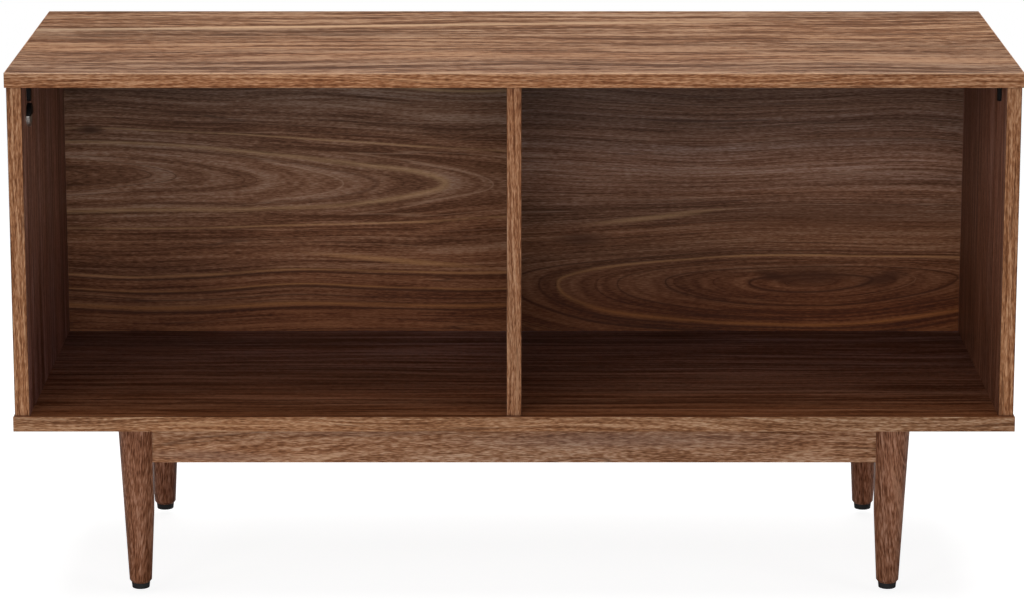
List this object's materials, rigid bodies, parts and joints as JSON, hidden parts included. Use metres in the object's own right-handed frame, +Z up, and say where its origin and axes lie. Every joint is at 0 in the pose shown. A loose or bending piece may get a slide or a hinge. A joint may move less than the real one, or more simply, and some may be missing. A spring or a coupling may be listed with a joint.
{
  "type": "open record console",
  "caption": "Low open walnut-veneer storage console: a divided box with side-by-side bays and a back, on a railed base with round tapered legs and adjustable feet.",
  "frame": {"origin": "on the floor at the centre of the footprint, midway between the ends and the front and back edges of the top", "axes": "+X to the right along the width, -Y towards the open front, +Z up"},
  "size_m": [1.067, 0.43, 0.5755],
  "materials": {
    "walnut_veneer": "satin lacquer on walnut veneer",
    "walnut_back_veneer": "satin lacquer on figured walnut veneer",
    "walnut_edge_band": "satin walnut edge banding",
    "walnut_solid": "satin solid walnut",
    "beech": "plain unfinished hardwood",
    "zinc_steel": "zinc plated",
    "black_steel": "black oxide",
    "black_plastic": "fine-textured black nylon"
  },
  "bodies": {
    "console": {"top_panel": "walnut_veneer", "bottom_panel": "walnut_veneer", "left_side_panel": "walnut_veneer", "right_side_panel": "walnut_veneer", "center_divider": "walnut_veneer", "left_back_panel": "walnut_back_veneer", "right_back_panel": "walnut_back_veneer", "top_front_edge_band": "walnut_edge_band", "top_left_edge_band": "walnut_edge_band", "top_right_edge_band": "walnut_edge_band", "bottom_front_edge_band": "walnut_edge_band", "bottom_left_edge_band": "walnut_edge_band", "bottom_right_edge_band": "walnut_edge_band", "left_side_panel_edge_band": "walnut_edge_band", "right_side_panel_edge_band": "walnut_edge_band", "center_divider_edge_band": "walnut_edge_band", "front_rail": "walnut_solid", "rear_rail": "walnut_solid", "left_rail": "walnut_solid", "right_rail": "walnut_solid", "front_left_leg": "walnut_solid", "front_right_leg": "walnut_solid", "rear_left_leg": "walnut_solid", "rear_right_leg": "walnut_solid", "carcass_dowels": "beech", "rail_dowels": "beech", "front_left_corner_block": "beech", "front_right_corner_block": "beech", "rear_left_corner_block": "beech", "rear_right_corner_block": "beech", "assembly_screws": "zinc_steel", "base_screws": "zinc_steel", "connector_bolts": "zinc_steel", "left_fitting_disc": "zinc_steel", "front_left_leg_insert": "zinc_steel", "front_right_leg_insert": "zinc_steel", "rear_left_leg_insert": "zinc_steel", "rear_right_leg_insert": "zinc_steel", "connector_screws": "black_steel", "left_front_corner_connector": "black_plastic", "left_rear_corner_connector": "black_plastic", "right_front_corner_connector": "black_plastic", "right_rear_corner_connector": "black_plastic", "left_fitting_hood": "black_plastic"},
    "front_left_foot": {"front_left_foot_pad": "black_plastic", "front_left_foot_stud": "zinc_steel"},
    "front_right_foot": {"front_right_foot_pad": "black_plastic", "front_right_foot_stud": "zinc_steel"},
    "rear_left_foot": {"rear_left_foot_pad": "black_plastic", "rear_left_foot_stud": "zinc_steel"},
    "rear_right_foot": {"rear_right_foot_pad": "black_plastic", "rear_right_foot_stud": "zinc_steel"}
  },
  "joints": [
    {"name": "front_left_foot_height", "type": "slide", "parent": "console", "child": "front_left_foot", "axis": [0, 0, -1], "range_m": [0, 0.006]},
    {"name": "front_right_foot_height", "type": "slide", "parent": "console", "child": "front_right_foot", "axis": [0, 0, -1], "range_m": [0, 0.006]},
    {"name": "rear_left_foot_height", "type": "slide", "parent": "console", "child": "rear_left_foot", "axis": [0, 0, -1], "range_m": [0, 0.006]},
    {"name": "rear_right_foot_height", "type": "slide", "parent": "console", "child": "rear_right_foot", "axis": [0, 0, -1], "range_m": [0, 0.006]}
  ]
}
